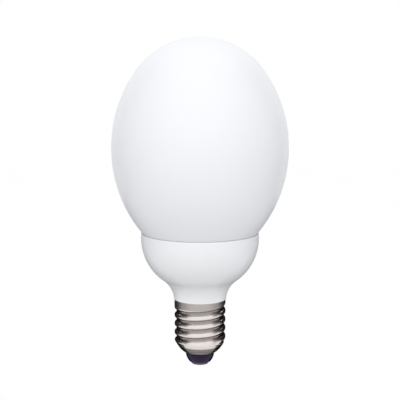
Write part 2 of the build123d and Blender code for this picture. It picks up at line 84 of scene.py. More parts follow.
# The insulator's rounded lower edge: how far in and up, as shares of the rounding
TIP_POINTS = ((0.35, 0.14), (0.0, 0.6))

# The bead of solder: how far out and up, as shares of its radius, and in how many parts
BEAD_POINTS = ((0.6, 0.04, 4), (0.9, 0.22, 3), (1.0, 0.5, 2))

# Points of a turned piece that are closer than this are one
WELD_GAP = 0.002 * MM

# Nickel plate: at what depth the painted shade in the grooves starts and ends, and the height of
# the soft edges of the collar, with its painted darker reflection and duller gloss, and of the
# painted shade on the rim
PAINTED_GROOVE_SHADE = (0.25, 0.95)
COLLAR_BLEND = 0.4 * MM
RIM_SHADE_BLEND = 0.5 * MM

# Finishes
BUMP_STRENGTH = 0.5
COAT_ROUGHNESS = 0.08
WHITE = (1.0, 1.0, 1.0, 1.0)
SOFT_WHITE = (0.97, 0.98, 1.0, 1.0)

# Studio
CAMERA_NEAR = 10 * MM
KEY_PLACE = Vector((-30 * MM, -560 * MM, 290 * MM))
KEY_AIM = Vector((0.0, 0.0, 65 * MM))
FLOOR_SIZE = 6.0
CARD_GAP = 1.0 * MM


# Settings
def millimetres(name, description, default, low=0.0):
    """A length, given here in millimetres and kept in metres."""
    return FloatProperty(
        name=name, description=description, default=default * MM, min=low * MM,
        unit="LENGTH", precision=5,
    )


def colour(name, description, default):
    """A surface colour."""
    return FloatVectorProperty(
        name=name, description=description, default=default, size=3, min=0.0, max=1.0,
        subtype="COLOR",
    )


def share(name, description, default):
    """A value from 0 to 1."""
    return FloatProperty(
        name=name, description=description, default=default, min=0.0, max=1.0, subtype="FACTOR",
    )


def angle(name, description, default):
    """An angle, given here in degrees."""
    return FloatProperty(
        name=name, description=description, default=math.radians(default), subtype="ANGLE",
    )


class BulbGlobe(bpy.types.PropertyGroup):
    """Sizes and finish of the opal globe."""

    crown_height: millimetres("Crown height", "From the widest circle to the top", 35.12)
    flank_arc: millimetres("Flank arc", "Radius of the curve at the sides", 42.37)
    wall: millimetres("Wall", "Thickness of the glass", 1.0)
    neck_radius: millimetres("Neck radius", "Outside of the neck in the lip", 17.25)
    tint: colour("Tint", "Colour of the opal glass", (0.93, 0.94, 0.96))
    roughness: share("Roughness", "How satin the glass is", 0.4)


class BulbHousing(bpy.types.PropertyGroup):
    """Sizes and finish of the moulded housing."""

    lip_height: millimetres("Lip height", "Straight band under the seam", 1.85)
    lip_rounding: millimetres("Lip rounding", "Radius of the lip's outer edge", 0.1)
    bowl_arc: millimetres("Bowl arc", "Radius of the bowl's curve", 16.56)
    neck_arc: millimetres("Neck arc", "Radius of the neck's hollow curve", 8.7996)
    neck_radius: millimetres("Neck radius", "Narrowest part of the neck", 8.45)
    wall: millimetres("Wall", "Thickness of the moulding", 1.2)
    floor: millimetres("Floor", "Thickness of the step on the cap's rim", 0.6)
    globe_gap: millimetres("Globe gap", "Clearance between the globe and the lip", 0.22)
    spigot_radius: millimetres("Spigot radius", "Outside of the spigot in the cap", 7.27)
    spigot_wall: millimetres("Spigot wall", "Thickness of the spigot in the cap", 1.0)
    holder_drop: millimetres("Holder drop", "From the lip down to the tube holder's seat", 5.6)
    rib_height: millimetres("Rib height", "How far the ribs reach under the board", 4.0)
    rib_thickness: millimetres("Rib thickness", "Thickness of the ribs", 1.2)
    rib_count: IntProperty(name="Ribs", description="Ribs that carry the board", default=6, min=3)
    ledge: millimetres("Ledge", "How far the ribs reach under the board's edge", 0.9)
    tint: colour("Tint", "Colour of the plastic", (0.93, 0.94, 0.95))
    roughness: share("Roughness", "How satin the plastic is", 0.3)


class BulbCap(bpy.types.PropertyGroup):
    """Sizes and finish of the screw cap and its contact."""

    pitch: millimetres("Pitch", "Rise of the thread in one turn", 2.822)
    depth: millimetres("Depth", "From crest to root", 0.68)
    land: millimetres("Land", "Flat between two grooves", 0.2)
    wall: millimetres("Sheet", "Thickness of the shell's sheet", 0.3)
    first_groove: millimetres(
        "First groove", "Height of the lowest groove over the mouth, at the front", 3.3
    )
    plain_collar: millimetres("Plain collar", "Band without thread under the housing", 2.65)
    start_turns: FloatProperty(
        name="Start", description="Turns from the front at which the groove begins",
        default=0.1,
    )
    lead_in_turns: FloatProperty(
        name="Lead-in", description="Turns in which the groove comes to its full depth",
        default=0.15, min=0.01,
    )
    runout_turns: FloatProperty(
        name="Run-out", description="Turns in which the groove climbs out of the sheet",
        default=0.5, min=0.1,
    )
    rows: IntProperty(name="Rows", description="Faces up the threaded part", default=110, min=40)
    mouth_radius: millimetres("Mouth radius", "Opening at the shell's lower end", 4.7)
    shoulder_radius: millimetres("Shoulder radius", "Where the end turns into the cone", 6.6)
    fold_in: millimetres("Fold in", "How far the soft fold reaches in from the shoulder", 1.9)
    fold_up: millimetres("Fold up", "How far it reaches up from the shoulder", 3.0)
    press_gap: millimetres("Press gap", "Clearance of what sits tight in the cap", 0.05)
    tip_radius: millimetres("Insulator tip", "Radius of the insulator's lower face", 3.7)
    tip_rounding: millimetres("Tip rounding", "How far the insulator's lower edge is rounded", 0.45)
    belly: millimetres("Belly", "Swelling of the insulator's side", 0.25)
    stem_radius: millimetres("Stem radius", "Stem of the contact in the insulator", 1.3)
    stem_length: millimetres("Stem length", "How far the stem reaches in", 1.5)
    contact_hole: millimetres("Contact hole", "Hole for the soldered wire", 1.4)
    contact_edge: millimetres("Contact edge", "Rounding of the contact's face", 0.75)
    metal: colour("Metal", "Colour of the nickel plate", (0.85, 0.80, 0.77))
    # Painted shade: the darker colour in the grooves stands for the shade in the thread's recesses
    groove: colour("Groove", "Colour of the plate in the grooves", (0.34, 0.30, 0.285))
    # Painted darker reflection: the collar's darker colour stands for the darker surroundings it
    # mirrors; its duller gloss is set by Collar roughness
    collar: colour("Collar", "Colour of the duller band over the thread", (0.47, 0.44, 0.42))
    # Painted shade: the darker colour of the rim stands for the shade at the shell's lower end
    rim: colour("Rim", "Colour of the darker rim at the shell's lower end", (0.26, 0.245, 0.23))
    rim_shade_height: millimetres("Rim height", "How far up that colour reaches", 3.1)
    edge: colour("Edge", "Tint of the plate's glancing reflections", (0.25, 0.23, 0.22))
    roughness: share("Roughness", "How dull the plate is", 0.22)
    collar_roughness: share("Collar roughness", "How dull the band over the thread is", 0.34)
    insulator: colour("Insulator", "Colour of the insulator's glass", (0.021, 0.011, 0.054))
    brass: colour("Brass", "Colour of the end contact", (0.17, 0.145, 0.14))
    solder: colour("Solder", "Colour of the bead of solder", (0.60, 0.60, 0.62))


class BulbStudio(bpy.types.PropertyGroup):
    """Camera, lamps and floor."""

    camera_distance: millimetres("Camera distance", "In front of the bulb's axis", 300.0)
    camera_height: millimetres("Camera height", "Above the contact", 95.0)
    aim_height: millimetres("Aim height", "Height on the axis that the camera looks at", 54.0)
    lens: FloatProperty(
        name="Lens", description="Focal length in millimetres", default=85.0, min=10.0,
        subtype="DISTANCE_CAMERA",
    )
    floor_drop: millimetres("Floor drop", "How far the floor lies under the contact", 60.0)
    ambient: FloatProperty(
        name="Ambient", description="Strength of the light from all round", default=1.0, min=0.0,
    )
    backlight: FloatProperty(
        name="Back light", default=0.14,
        description="How much stronger that light is from behind than from the side",
    )
    toplight: FloatProperty(
        name="Top light", default=-0.11,
        description="How much stronger it is from above than from the side",
    )
    key_power: FloatProperty(
        name="Key power", description="Power of the soft lamp above the camera", default=1.19,
        min=0.0, unit="POWER",
    )
    key_size: millimetres("Key size", "Width of the soft lamp", 600.0)
    floor_glow: share("Floor glow", "How much of the floor shows as plain white to the camera", 0.9)
    floor_white: FloatProperty(
        name="Floor white", description="Strength of that white", default=1.05, min=0.0,
    )
    floor_tone: colour("Floor tone", "Colour of the floor in plain light", (0.55, 0.55, 0.55))
    flag_tone: colour("Flag tone", "Colour of the dark screens", (0.01, 0.01, 0.01))
    flag_start: angle("Flag start", "Nearer edge of the tall dark screens, from the camera", 96.0)
    flag_end: angle("Flag end", "Farther edge of the tall dark screens", 126.0)
    flag_distance: millimetres("Flag distance", "From the bulb's axis to the tall screens", 250.0)
    flag_height: millimetres("Flag height", "Top of the tall screens", 400.0)
    low_start: angle("Low start", "Nearer edge of the low dark screens close to the cap", 108.0)
    low_end: angle("Low end", "Farther edge of the low dark screens", 166.0)
    low_distance: millimetres("Low distance", "From the bulb's axis to them", 50.0)
    low_height: millimetres("Low height", "Top of the low dark screens", 42.0)
    side_start: angle("Side start", "Nearer edge of the grey screens", 62.0)
    side_tone: colour("Side tone", "Colour of the grey screens", (0.30, 0.29, 0.28))
    strip_start: angle("Strip start", "Nearer edge of the pale strips near the floor", 56.0)
    strip_end: angle("Strip end", "Farther edge of the pale strips", 90.0)
    strip_distance: millimetres("Strip distance", "From the bulb's axis to them", 235.0)
    strip_height: millimetres("Strip height", "Top of the pale strips", 0.0, low=-1000.0)
    strip_tone: colour("Strip tone", "Colour of the pale strips", (0.80, 0.78, 0.77))
    card_width: millimetres("Card width", "Side of the pale card on the floor", 2600.0)
    card_tone: colour("Card tone", "Colour of the pale card on the floor", (0.92, 0.90, 0.89))
    steps: IntProperty(
        name="Steps", description="How many faces go round a turned piece", default=160, min=24,
    )


# Turned pieces: a line of edges drawn in the XZ plane, then spun round the lamp's axis
def deselect_all():
    """Leave nothing selected, the carried-over nodes included."""
    bpy.ops.object.select_all(action="DESELECT")


def start_line(name, x, z):
    """A new piece in edit mode, with one vertex at this point of its half section."""
    deselect_all()
    bpy.ops.mesh.primitive_plane_add(size=MM, location=(0.0, 0.0, 0.0))
    piece = bpy.context.object
    piece.name = name
    piece.data.name = name
    bpy.ops.object.mode_set(mode="EDIT")
    bpy.ops.mesh.select_all(action="SELECT")
    bpy.ops.mesh.merge(type="CENTER")
    bpy.ops.transform.translate(value=(x, 0.0, z))
    return piece


def line_by(across, up, parts=1):
    """Draw the half section on by this much, in equal parts."""
    for _ in range(parts):
        bpy.ops.mesh.extrude_region_move(
            TRANSFORM_OT_translate={"value": (across / parts, 0.0, up / parts)}
        )


def arc_about(x, z, sweep, parts):
    """Draw the half section on along an arc about this centre, anticlockwise if sweep is over 0."""
    bpy.ops.mesh.spin(steps=parts, angle=sweep, center=(x, 0.0, z), axis=(0.0, 1.0, 0.0))


def pen(piece):
    """The end of the line that is being drawn."""
    mesh = bmesh.from_edit_mesh(piece.data)
    end = next(vertex for vertex in mesh.verts if vertex.select)
    return end.co.x, end.co.z


def line_to(piece, x, z, parts=1):
    """Draw the half section on to this point, in equal parts."""
    from_x, from_z = pen(piece)
    line_by(x - from_x, z - from_z, parts)


def turn_round(piece, steps):
    """Spin the drawn line once round the axis, and close the seam and the poles."""
    bpy.ops.mesh.select_all(action="SELECT")
    bpy.ops.mesh.spin(steps=steps, angle=math.tau, center=(0.0, 0.0, 0.0), axis=(0.0, 0.0, 1.0))
    bpy.ops.mesh.select_all(action="SELECT")
    bpy.ops.mesh.remove_doubles(threshold=WELD_GAP)
    bpy.ops.mesh.select_all(action="SELECT")
    bpy.ops.mesh.normals_make_consistent(inside=False)
    bpy.ops.object.mode_set(mode="OBJECT")


def finish_piece(piece, material, slot, *nodes, smooth=35.0):
    """Give a piece its surface, hang it on the root body and hide the nodes of the frame that it
    stands for.
    """
    deselect_all()
    piece.select_set(True)
    bpy.context.view_layer.objects.active = piece
    bpy.ops.object.shade_smooth_by_angle(angle=math.radians(smooth))
    piece.data.materials.clear()
    piece.data.materials.append(material)
    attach(piece, "root")
    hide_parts(*nodes)


# Surfaces
def new_group(name, inputs, outputs):
    """An empty node group with these sockets, and its input and output nodes."""
    group = bpy.data.node_groups.new(name, "ShaderNodeTree")
    for socket, kind, value in inputs:
        made = group.interface.new_socket(socket, in_out="INPUT", socket_type=kind)
        if value is not None:
            made.default_value = value
    for socket, kind in outputs:
        group.interface.new_socket(socket, in_out="OUTPUT", socket_type=kind)
    return group, group.nodes.new("NodeGroupInput"), group.nodes.new("NodeGroupOutput")


def math_node(tree, operation, first, second=None, clamp=False):
    """One Math node, fed with sockets or plain numbers."""
    node = tree.nodes.new("ShaderNodeMath")
    node.operation = operation
    node.use_clamp = clamp
    for socket, value in zip(node.inputs, (first, second)):
        if value is None:
            continue
        if isinstance(value, (int, float)):
            socket.default_value = value
        else:
            tree.links.new(value, socket)
    return node.outputs[0]


def tone_over(tree, mask, under, tone):
    """Lay a tone over another colour, as far as the mask says."""
    blend = tree.nodes.new("ShaderNodeMix")
    blend.data_type = "RGBA"
    blend.inputs["B"].default_value = (*tone, 1.0)
    tree.links.new(mask, blend.inputs["Factor"])
    tree.links.new(under, blend.inputs["A"])
    return blend.outputs["Result"]


def mixed_shader(tree, share_of_second, first, second):
    """Two shaders mixed."""
    mix = tree.nodes.new("ShaderNodeMixShader")
    tree.links.new(share_of_second, mix.inputs["Fac"])
    tree.links.new(first, mix.inputs[1])
    tree.links.new(second, mix.inputs[2])
    return mix.outputs["Shader"]


def seen_rays(tree):
    """1 for what is seen, straight, mirrored or through glass, and 0 for what only gives light."""
    rays = tree.nodes.new("ShaderNodeLightPath")
    seen = math_node(tree, "MAXIMUM", rays.outputs["Is Camera Ray"], rays.outputs["Is Glossy Ray"])
    return math_node(tree, "MAXIMUM", seen, rays.outputs["Is Transmission Ray"])


def cloudy_group():
    """Soft clouds of a second tone over a colour, with a fine grain for the bump."""
    name = "Cloudy surface"
    if name in bpy.data.node_groups:
        return bpy.data.node_groups[name]
    group, entry, exit_node = new_group(
        name,
        [
            ("Vector", "NodeSocketVector", None),
            ("Colour", "NodeSocketColor", (0.8, 0.8, 0.8, 1.0)),
            ("Cloud colour", "NodeSocketColor", (0.7, 0.7, 0.7, 1.0)),
            ("Cloud scale", "NodeSocketFloat", 60.0),
            ("Grain scale", "NodeSocketFloat", 2500.0),
            ("Roughness", "NodeSocketFloat", 0.4),
            ("Roughness spread", "NodeSocketFloat", 0.05),
        ],
        [
            ("Colour", "NodeSocketColor"),
            ("Roughness", "NodeSocketFloat"),
            ("Height", "NodeSocketFloat"),
        ],
    )
    clouds = group.nodes.new("ShaderNodeTexNoise")
    clouds.inputs["Detail"].default_value = 3.0
    grain = group.nodes.new("ShaderNodeTexNoise")
    grain.inputs["Detail"].default_value = 2.0
    blend = group.nodes.new("ShaderNodeMix")
    blend.data_type = "RGBA"
    join = group.links.new
    join(entry.outputs["Vector"], clouds.inputs["Vector"])
    join(entry.outputs["Cloud scale"], clouds.inputs["Scale"])
    join(entry.outputs["Vector"], grain.inputs["Vector"])
    join(entry.outputs["Grain scale"], grain.inputs["Scale"])
    join(clouds.outputs["Fac"], blend.inputs["Factor"])
    join(entry.outputs["Colour"], blend.inputs["A"])
    join(entry.outputs["Cloud colour"], blend.inputs["B"])
    join(blend.outputs["Result"], exit_node.inputs["Colour"])
    swing = math_node(group, "SUBTRACT", clouds.outputs["Fac"], 0.5)
    swing = math_node(group, "MULTIPLY", swing, entry.outputs["Roughness spread"])
    rough = math_node(group, "ADD", entry.outputs["Roughness"], swing, clamp=True)
    join(rough, exit_node.inputs["Roughness"])
    join(grain.outputs["Fac"], exit_node.inputs["Height"])
    return group


def groove_group():
    """Where a point lies on the cap: its depth in the thread, the collar above and the rim below.

    The depth runs from 0 on the crests to 1 at the roots.
    """
    name = "Groove depth"
    if name in bpy.data.node_groups:
        return bpy.data.node_groups[name]
    group, entry, exit_node = new_group(
        name,
        [
            ("Vector", "NodeSocketVector", None),
            ("Crest radius", "NodeSocketFloat", 8.3 * MM),
            ("Depth", "NodeSocketFloat", 0.68 * MM),
            ("Cone top", "NodeSocketFloat", 8.1 * MM),
            ("Cone slope", "NodeSocketFloat", 0.55),
            ("Collar", "NodeSocketFloat", 19.2 * MM),
            ("Rim", "NodeSocketFloat", 5.3 * MM),
        ],
        [
            ("Mask", "NodeSocketFloat"),
            ("Collar mask", "NodeSocketFloat"),
            ("Rim mask", "NodeSocketFloat"),
        ],
    )
    split = group.nodes.new("ShaderNodeSeparateXYZ")
    group.links.new(entry.outputs["Vector"], split.inputs[0])
    across = math_node(group, "MULTIPLY", split.outputs["X"], split.outputs["X"])
    along = math_node(group, "MULTIPLY", split.outputs["Y"], split.outputs["Y"])
    radius = math_node(group, "SQRT", math_node(group, "ADD", across, along))
    below = math_node(group, "SUBTRACT", entry.outputs["Cone top"], split.outputs["Z"])
    below = math_node(group, "MAXIMUM", below, 0.0)
    narrowed = math_node(group, "MULTIPLY", below, entry.outputs["Cone slope"])
    plain = math_node(group, "SUBTRACT", entry.outputs["Crest radius"], narrowed)
    sunk = math_node(group, "SUBTRACT", plain, radius)
    mask = math_node(group, "DIVIDE", sunk, entry.outputs["Depth"], clamp=True)
    group.links.new(mask, exit_node.inputs["Mask"])
    # Collar mask: where the painted darker reflection and the duller gloss go
    above = math_node(group, "SUBTRACT", split.outputs["Z"], entry.outputs["Collar"])
    collar = math_node(group, "DIVIDE", above, COLLAR_BLEND, clamp=True)
    group.links.new(collar, exit_node.inputs["Collar mask"])
    # Rim mask: where the painted shade at the shell's lower end goes
    under = math_node(group, "SUBTRACT", entry.outputs["Rim"], split.outputs["Z"])
    rim = math_node(group, "DIVIDE", under, RIM_SHADE_BLEND, clamp=True)
    group.links.new(rim, exit_node.inputs["Rim mask"])
    return group


def new_material(name):
    """A material with its shader and the object's own coordinates."""
    material = bpy.data.materials.new(name)
    material.use_nodes = True
    tree = material.node_tree
    shader = tree.nodes["Principled BSDF"]
    place = tree.nodes.new("ShaderNodeTexCoord")
    return material, tree, shader, place.outputs["Object"]


def cloudy_material(name, tone, cloud, roughness, cloud_scale=60.0, grain_scale=2500.0,
                    grain_depth=0.004, spread=0.06, metallic=0.0, coat=0.0):
    """A moulded, cast or plated surface: two close tones, uneven gloss and a fine grain."""
    material, tree, shader, place = new_material(name)
    clouds = tree.nodes.new("ShaderNodeGroup")
    clouds.node_tree = cloudy_group()
    clouds.inputs["Colour"].default_value = (*tone, 1.0)
    clouds.inputs["Cloud colour"].default_value = (*cloud, 1.0)
    clouds.inputs["Cloud scale"].default_value = cloud_scale
    clouds.inputs["Grain scale"].default_value = grain_scale
    clouds.inputs["Roughness"].default_value = roughness
    clouds.inputs["Roughness spread"].default_value = spread
    bump = tree.nodes.new("ShaderNodeBump")
    bump.inputs["Strength"].default_value = BUMP_STRENGTH
    bump.inputs["Distance"].default_value = grain_depth * MM
    tree.links.new(place, clouds.inputs["Vector"])
    tree.links.new(clouds.outputs["Colour"], shader.inputs["Base Color"])
    tree.links.new(clouds.outputs["Roughness"], shader.inputs["Roughness"])
    tree.links.new(clouds.outputs["Height"], bump.inputs["Height"])
    tree.links.new(bump.outputs["Normal"], shader.inputs["Normal"])
    shader.inputs["Metallic"].default_value = metallic
    shader.inputs["Coat Weight"].default_value = coat
    shader.inputs["Coat Roughness"].default_value = COAT_ROUGHNESS
    return material


def darker(tone, factor):
    """A colour taken down by this factor."""
    return tuple(part * factor for part in tone)


def nickel_material(cap):
    """Nickel plate, with painted shade in the thread's grooves and on the rim, and a painted darker
    reflection and duller gloss on the collar.
    """
    material = cloudy_material(
        "Nickel plate", cap.metal, darker(cap.metal, factor=0.93), cap.roughness,
        cloud_scale=220.0, grain_scale=6000.0, grain_depth=0.002, spread=0.08, metallic=1.0,
    )
    tree = material.node_tree
    shader = tree.nodes["Principled BSDF"]
    place = tree.nodes["Texture Coordinate"].outputs["Object"]
    clouds = tree.nodes["Group"]
    shader.inputs["Specular Tint"].default_value = (*cap.edge, 1.0)
    depth = tree.nodes.new("ShaderNodeGroup")
    depth.node_tree = groove_group()
    depth.inputs["Crest radius"].default_value = shell_high.x
    depth.inputs["Depth"].default_value = cap.depth
    depth.inputs["Cone top"].default_value = shell_low.z + CONE_TOP
    depth.inputs["Cone slope"].default_value = CONE_SLOPE
    depth.inputs["Collar"].default_value = shell_high.z - cap.plain_collar
    depth.inputs["Rim"].default_value = shell_low.z + cap.rim_shade_height
    # Painted shade in the grooves, growing with the depth in the thread
    groove_shade_ramp = tree.nodes.new("ShaderNodeValToRGB")
    for element, position in zip(groove_shade_ramp.color_ramp.elements, PAINTED_GROOVE_SHADE):
        element.position = position
    tree.links.new(place, depth.inputs["Vector"])
    tree.links.new(depth.outputs["Mask"], groove_shade_ramp.inputs["Fac"])
    # Painted shade on the rim, a painted darker reflection on the collar and painted shade in the
    # grooves, laid over the plate's colour
    tone = tone_over(tree, depth.outputs["Rim mask"], clouds.outputs["Colour"], cap.rim)
    tone = tone_over(tree, depth.outputs["Collar mask"], tone, cap.collar)
    tone = tone_over(tree, groove_shade_ramp.outputs["Color"], tone, cap.groove)
    tree.links.new(tone, shader.inputs["Base Color"])
    gloss = tree.nodes.new("ShaderNodeMix")
    gloss.inputs["B"].default_value = cap.collar_roughness
    tree.links.new(depth.outputs["Collar mask"], gloss.inputs["Factor"])
    tree.links.new(clouds.outputs["Roughness"], gloss.inputs["A"])
    tree.links.new(gloss.outputs["Result"], shader.inputs["Roughness"])
    return material


# Pieces
class BulbPiece:
    """What the operators of the pieces share."""

    bl_options = {"REGISTER", "UNDO"}

    @property
    def steps(self):
        """How many faces go round a turned piece."""
        return bpy.context.scene.bulb_studio.steps


def crown_radius(flank, flank_x, height):
    """Radius of the globe's crown, which meets the flank's arc smoothly and has this height."""
    return (flank**2 - flank_x**2 - height**2) / (2 * (flank - height))


class BULB_OT_globe(BulbPiece, bpy.types.Operator):
    """Turn the egg-shaped globe of opal glass"""

    bl_idname = "bulb.globe"
    bl_label = "Globe"

    def execute(self, context):
        """Draw the glass's half section, outside and inside, and spin it."""
        sizes = context.scene.bulb_globe
        widest = globe_high.x
        top, rim = globe_high.z, globe_low.z
        equator = top - sizes.crown_height
        flank_x = widest - sizes.flank_arc
        crown = crown_radius(sizes.flank_arc, flank_x, sizes.crown_height)
        crown_z = top - crown
        tilt = math.atan2(crown_z - equator, -flank_x)
        below = math.acos((sizes.neck_radius - flank_x) / sizes.flank_arc)
        inner_neck = sizes.neck_radius - sizes.wall
        inner_below = math.acos((inner_neck - flank_x) / (sizes.flank_arc - sizes.wall))
        piece = start_line("opal_globe", sizes.neck_radius, rim)
        line_to(piece, sizes.neck_radius, equator - sizes.flank_arc * math.sin(below), parts=6)
        arc_about(flank_x, equator, below + tilt, parts=60)
        arc_about(0.0, crown_z, math.pi / 2 - tilt, parts=48)
        line_to(piece, 0.0, top - sizes.wall)
        arc_about(0.0, crown_z, tilt - math.pi / 2, parts=32)
        arc_about(flank_x, equator, -inner_below - tilt, parts=40)
        line_to(piece, inner_neck, rim)
        line_to(piece, sizes.neck_radius, rim)
        turn_round(piece, self.steps)
        glass = cloudy_material(
            "Opal glass", sizes.tint, darker(sizes.tint, factor=0.985), sizes.roughness,
            cloud_scale=45.0, grain_scale=900.0, grain_depth=0.003, spread=0.04,
        )
        finish_piece(piece, glass, "opal_glass", "globe")
        return {"FINISHED"}


class BULB_OT_housing(BulbPiece, bpy.types.Operator):
    """Turn the moulded housing, from the spigot in the cap to the lip round the globe"""

    bl_idname = "bulb.housing"
    bl_label = "Housing"

    def execute(self, context):
        """Draw the moulding's half section, spin it and add its ribs."""
        sizes = context.scene.bulb_housing
        globe = context.scene.bulb_globe
        lip = housing_high.x
        lip_top, spigot_bottom = housing_high.z, housing_low.z
        lip_bottom = lip_top - sizes.lip_height
        cap_top = shell_high.z
        bowl_x = lip - sizes.bowl_arc
        neck_x = sizes.neck_radius + sizes.neck_arc
        sweep = math.acos((neck_x - bowl_x) / (sizes.bowl_arc + sizes.neck_arc))
        neck_z = lip_bottom - (sizes.bowl_arc + sizes.neck_arc) * math.sin(sweep)
        inner_neck = sizes.neck_arc + sizes.wall
        floor = cap_top + sizes.floor
        globe_x = globe_high.x - globe.flank_arc
        equator = globe_high.z - globe.crown_height
        cradle = globe.flank_arc + sizes.globe_gap
        inner_lip = lip - sizes.wall
        from_angle = math.asin((lip_top - equator) / cradle)
        to_angle = -math.acos((inner_lip - globe_x) / cradle)
        rounding = sizes.lip_rounding
        neck_low = math.asin((cap_top - neck_z) / sizes.neck_arc)
        floor_low = math.asin((floor - neck_z) / inner_neck)
        piece = start_line("moulded_housing", sizes.spigot_radius, cap_top)
        line_to(piece, neck_x - sizes.neck_arc * math.cos(neck_low), cap_top)
        arc_about(neck_x, neck_z, neck_low - sweep, parts=24)
        arc_about(bowl_x, lip_bottom, sweep, parts=40)
        line_to(piece, lip, lip_top - rounding, parts=3)
        arc_about(lip - rounding, lip_top - rounding, math.pi / 2, parts=4)
        line_to(piece, globe_x + cradle * math.cos(from_angle), lip_top)
        arc_about(globe_x, equator, to_angle - from_angle, parts=6)
        line_to(piece, inner_lip, lip_bottom, parts=2)
        arc_about(bowl_x, lip_bottom, -sweep, parts=24)
        arc_about(neck_x, neck_z, sweep - floor_low, parts=16)
        line_to(piece, sizes.spigot_radius - sizes.spigot_wall, floor)
        line_to(piece, sizes.spigot_radius - sizes.spigot_wall, spigot_bottom)
        line_to(piece, sizes.spigot_radius, spigot_bottom)
        line_to(piece, sizes.spigot_radius, cap_top)
        turn_round(piece, self.steps)
        ribs = [self.rib(sizes, number, bowl_x, lip_bottom) for number in range(sizes.rib_count)]
        deselect_all()
        for rib in ribs:
            rib.select_set(True)
        piece.select_set(True)
        context.view_layer.objects.active = piece
        bpy.ops.object.join()
        plastic = cloudy_material(
            "White plastic", sizes.tint, darker(sizes.tint, factor=0.985), sizes.roughness,
            cloud_scale=70.0, grain_scale=3500.0, grain_depth=0.004, spread=0.05,
        )
        finish_piece(piece, plastic, "white_plastic", "housing")
        return {"FINISHED"}

    def rib(self, sizes, number, bowl_x, bowl_z):
        """One rib that carries the board and the tube holder, with its foot in the bowl's wall."""
        seat = housing_high.z - sizes.holder_drop
        board_low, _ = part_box("circuit_board")
        low = board_low.z - sizes.rib_height
        middle = sizes.bowl_arc - sizes.wall / 2
        step = BOARD_RADIUS + BOARD_CLEARANCE
        piece = start_line(f"rib_{number}", BOARD_RADIUS - sizes.ledge, low)
        line_to(piece, BOARD_RADIUS - sizes.ledge, board_low.z)
        line_to(piece, step, board_low.z)
        line_to(piece, step, seat)
        high_angle = math.asin((seat - bowl_z) / middle)
        low_angle = math.asin((low - bowl_z) / middle)
        line_to(piece, bowl_x + middle * math.cos(high_angle), seat)
        arc_about(bowl_x, bowl_z, low_angle - high_angle, parts=6)
        bpy.ops.mesh.select_all(action="SELECT")
        bpy.ops.mesh.edge_face_add()
        half = sizes.rib_thickness / 2
        bpy.ops.transform.translate(value=(0.0, -half, 0.0))
        bpy.ops.mesh.extrude_region_move(TRANSFORM_OT_translate={"value": (0.0, 2 * half, 0.0)})
        bpy.ops.mesh.select_all(action="SELECT")
        bpy.ops.mesh.normals_make_consistent(inside=False)
        bpy.ops.object.mode_set(mode="OBJECT")
        piece.data.transform(Matrix.Rotation(math.tau * number / sizes.rib_count, 4, "Z"))
        return piece


class BULB_OT_cap(BulbPiece, bpy.types.Operator):
    """Turn the cap's shell and roll its knuckle thread into the sheet"""

    bl_idname = "bulb.cap"
    bl_label = "Screw cap"

    def execute(self, context):
        """Draw the outside of the plain shell, spin it, press the thread in and thicken it."""
        cap = context.scene.bulb_cap
        crest, low, high = shell_high.x, shell_low.z, shell_high.z
        shoulder_z, cone_z = low + SHOULDER_RISE, low + CONE_TOP
        shoulder = Vector((cap.shoulder_radius, shoulder_z))
        inward = (Vector((cap.mouth_radius, low)) - shoulder).normalized() * cap.fold_in
        upward = (Vector((crest, cone_z)) - shoulder).normalized() * cap.fold_up
        piece = start_line("rolled_cap", cap.mouth_radius, low)
        line_to(piece, *(shoulder + inward), parts=2)
        for number in range(1, FOLD_STEPS + 1):
            along = number / FOLD_STEPS
            line_to(piece, *(shoulder + inward * (1 - along) ** 2 + upward * along**2))
        line_to(piece, crest, cone_z, parts=6)
        line_to(piece, crest, high, cap.rows)
        turn_round(piece, self.steps)
        self.press_thread(piece.data, cap)
        sheet = piece.modifiers.new("Sheet", "SOLIDIFY")
        sheet.thickness = cap.wall
        sheet.offset = -1.0
        bpy.ops.object.modifier_apply(modifier=sheet.name)
        finish_piece(piece, nickel_material(cap), "nickel_plate", "screw_shell", smooth=50.0)
        return {"FINISHED"}

    def press_thread(self, mesh, cap):
        """Move the shell's points in to the thread's surface, where that lies deeper."""
        crest = shell_high.x
        start = shell_low.z + cap.first_groove
        last_turn = (shell_high.z - cap.plain_collar - start) / cap.pitch
        width = cap.pitch - cap.land
        knuckle_angle = 2 * math.atan(2 * cap.depth / width)
        knuckle = width / (4 * math.sin(knuckle_angle))
        for vertex in mesh.vertices:
            radius = math.hypot(vertex.co.x, vertex.co.y)
            share_of_turn = (math.atan2(vertex.co.y, vertex.co.x) + math.pi / 2) / math.tau
            reach = radius
            for turn in range(-1, math.ceil(last_turn + cap.runout_turns) + 1):
                turns = share_of_turn + turn
                off = abs(vertex.co.z - start - cap.pitch * turns)
                in_thread = cap.start_turns <= turns <= last_turn + cap.runout_turns
                if not in_thread or off >= width / 2:
                    continue
                if off < width / 4:
                    sunk = cap.depth - (knuckle - math.sqrt(knuckle**2 - off**2))
                else:
                    sunk = knuckle - math.sqrt(knuckle**2 - (width / 2 - off) ** 2)
                climb = max(0.0, (turns - last_turn) / cap.runout_turns)
                lead_in = min(1.0, (turns - cap.start_turns) / cap.lead_in_turns)
                reach = min(reach, crest - sunk * lead_in + climb * (cap.depth + cap.wall / 2))
            vertex.co.x *= reach / radius
            vertex.co.y *= reach / radius


